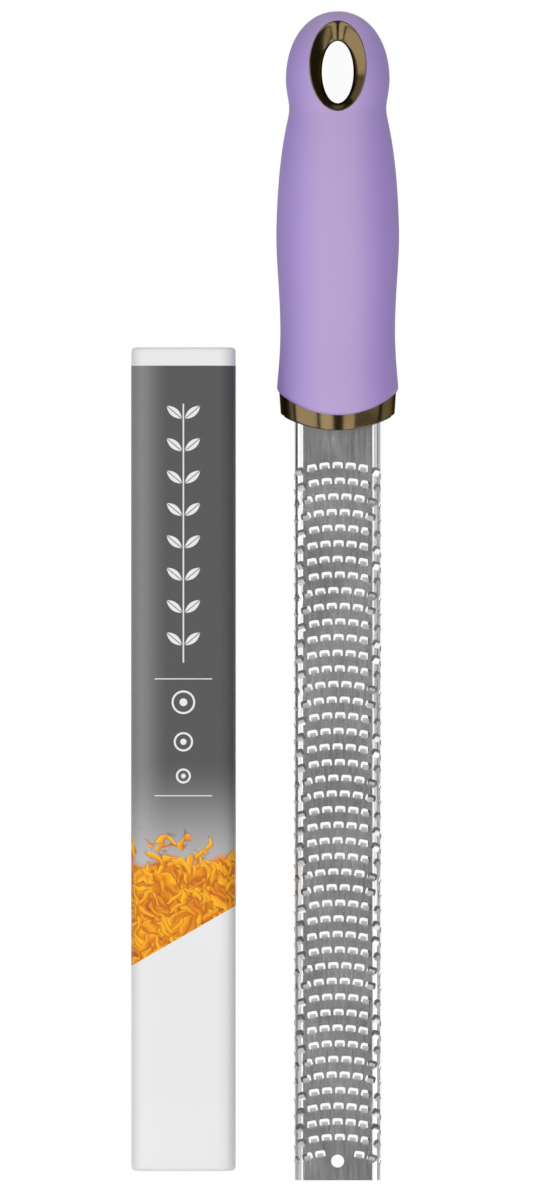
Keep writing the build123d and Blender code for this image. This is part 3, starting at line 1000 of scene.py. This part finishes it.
# Stage: a pale floor that reads white and keeps a soft shadow, which is deeper in mirror images
stage = {
    "size": 30.0,
    "below": 0.0002,
    "colour": (0.85, 0.85, 0.85, 1),
    "shadowShare": 0.12,
    "glow": 0.93,
    "mirroredShare": 0.72,
    "mirroredGlow": 0.02,
    "surround": 0.15,
    "mirroredSurround": 0.06,
}
bm = bmesh.new()
bmesh.ops.create_grid(bm, x_segments=1, y_segments=1, size=stage["size"] / 2)
floorMesh = meshFrom(bm, "floor")
floor = bpy.data.objects.new("floor", floorMesh)
bpy.context.scene.collection.objects.link(floor)
floor.location.z = -stage["below"]
floorLook = bpy.data.materials.new("paleFloor")
floorLook.use_nodes = True
tree = floorLook.node_tree
tree.nodes.clear()
lightPath = addNode(tree, "ShaderNodeLightPath").outputs
shows = plus(tree, lightPath["Is Camera Ray"], lightPath["Is Glossy Ray"])
shows = addNode(tree, "ShaderNodeMath", {0: shows, 1: lightPath["Is Transmission Ray"]},
                operation="ADD", use_clamp=True).outputs[0]
plain = addNode(tree, "ShaderNodeBsdfDiffuse", {"Color": stage["colour"]}).outputs[0]
mirroredRay = lightPath["Is Glossy Ray"]
share = spread(tree, mirroredRay, stage["shadowShare"], stage["mirroredShare"])
shaded = addNode(tree, "ShaderNodeBsdfDiffuse", {"Color": share}).outputs[0]
strength = spread(tree, mirroredRay, stage["glow"], stage["mirroredGlow"])
glow = addNode(tree, "ShaderNodeEmission", {"Strength": strength}).outputs[0]
white = addNode(tree, "ShaderNodeAddShader", {0: shaded, 1: glow}).outputs[0]
surface = addNode(tree, "ShaderNodeMixShader", {0: shows, 1: plain, 2: white}).outputs[0]
addNode(tree, "ShaderNodeOutputMaterial", {"Surface": surface})
floorMesh.materials.append(floorLook)

world = bpy.data.worlds.new("studio")
bpy.context.scene.world = world
world.use_nodes = True
tree = world.node_tree
mirroredRay = addNode(tree, "ShaderNodeLightPath").outputs["Is Glossy Ray"]
surround = tree.nodes["Background"].inputs
surround["Color"].default_value = (1, 1, 1, 1)
dimmed = spread(tree, mirroredRay, stage["surround"], stage["mirroredSurround"])
tree.links.new(dimmed, surround["Strength"])


# Lights face the object's long axis at the place given along it. Lean is the angle from straight up,
# to the right where positive, nod the same towards the handle, and glow how bright each one looks,
# where 1 is white. Those not mirrored only light what they shine on, and those not soft only show in
# mirror images.
lights = (
    {"name": "topSoft", "lean": 0, "nod": 6, "place": 0.02, "distance": 1.3,
     "across": 0.9, "along": 1.1, "glow": 1.58, "mirrored": False},
    {"name": "leftStrip", "lean": -18, "nod": 0, "place": -0.05, "distance": 1.3,
     "across": 0.5, "along": 1.8, "glow": 1.9},
    {"name": "rightStrip", "lean": 20, "nod": 0, "place": -0.05, "distance": 1.3,
     "across": 0.44, "along": 1.8, "glow": 1.7},
    {"name": "leftEnd", "lean": -57.5, "nod": 0, "place": 0.52, "distance": 0.6,
     "across": 0.52, "along": 0.36, "glow": 0.45, "soft": False},
    {"name": "leftHead", "lean": -57.5, "nod": 0, "place": 0.105, "distance": 0.6,
     "across": 0.52, "along": 0.41, "glow": 1.65, "soft": False},
    {"name": "leftFoot", "lean": -57.5, "nod": 0, "place": -0.33, "distance": 0.6,
     "across": 0.52, "along": 0.46, "glow": 0.78, "soft": False},
    {"name": "leftFill", "lean": -62, "nod": -30, "place": -0.08, "distance": 0.6,
     "across": 0.4, "along": 0.4, "glow": 0.8, "mirrored": False},
    {"name": "rightMiddle", "lean": 56, "nod": 0, "place": 0.019, "distance": 0.6,
     "across": 0.50, "along": 0.09, "glow": 1.15, "soft": False},
    {"name": "rightFoot", "lean": 56, "nod": 0, "place": -0.32, "distance": 0.6,
     "across": 0.50, "along": 0.46, "glow": 1.85, "soft": False},
    {"name": "footBox", "lean": 0, "nod": -56, "place": 0, "distance": 1.4,
     "across": 1.5, "along": 0.8, "glow": 0.7},
    {"name": "headBox", "lean": 0, "nod": 62, "place": 0, "distance": 1.4,
     "across": 1.2, "along": 0.5, "glow": 0.6},
)
for light in lights:
    turn = Euler((math.radians(-light["nod"]), math.radians(light["lean"]), 0))
    lamp = bpy.data.lights.new(light["name"], "AREA")
    lamp.shape = "RECTANGLE"
    lamp.size = light["across"]
    lamp.size_y = light["along"]
    lamp.energy = light["glow"] * math.pi * light["across"] * light["along"]
    holder = bpy.data.objects.new(light["name"], lamp)
    target = Vector((0, light["place"], 0))
    holder.location = turn.to_matrix() @ Vector((0, 0, light["distance"])) + target
    holder.rotation_euler = turn
    holder.visible_glossy = light.get("mirrored", True)
    holder.visible_diffuse = light.get("soft", True)
    bpy.context.scene.collection.objects.link(holder)

# Camera: a long lens straight above, with the handle up
view = {"x": 0.000384, "y": -0.001064, "height": 6.0, "tall": 0.3345, "sensor": 36, "farthest": 100}
lens = bpy.data.cameras.new("camera")
lens.sensor_fit = "VERTICAL"
lens.sensor_height = view["sensor"]
lens.lens = view["sensor"] * view["height"] / view["tall"]
lens.clip_end = view["farthest"]
camera = bpy.data.objects.new("camera", lens)
camera.location = (view["x"], view["y"], view["height"])
bpy.context.scene.collection.objects.link(camera)
bpy.context.scene.camera = camera
bpy.context.scene.view_settings.view_transform = "Standard"
print("stage, lights and camera set")
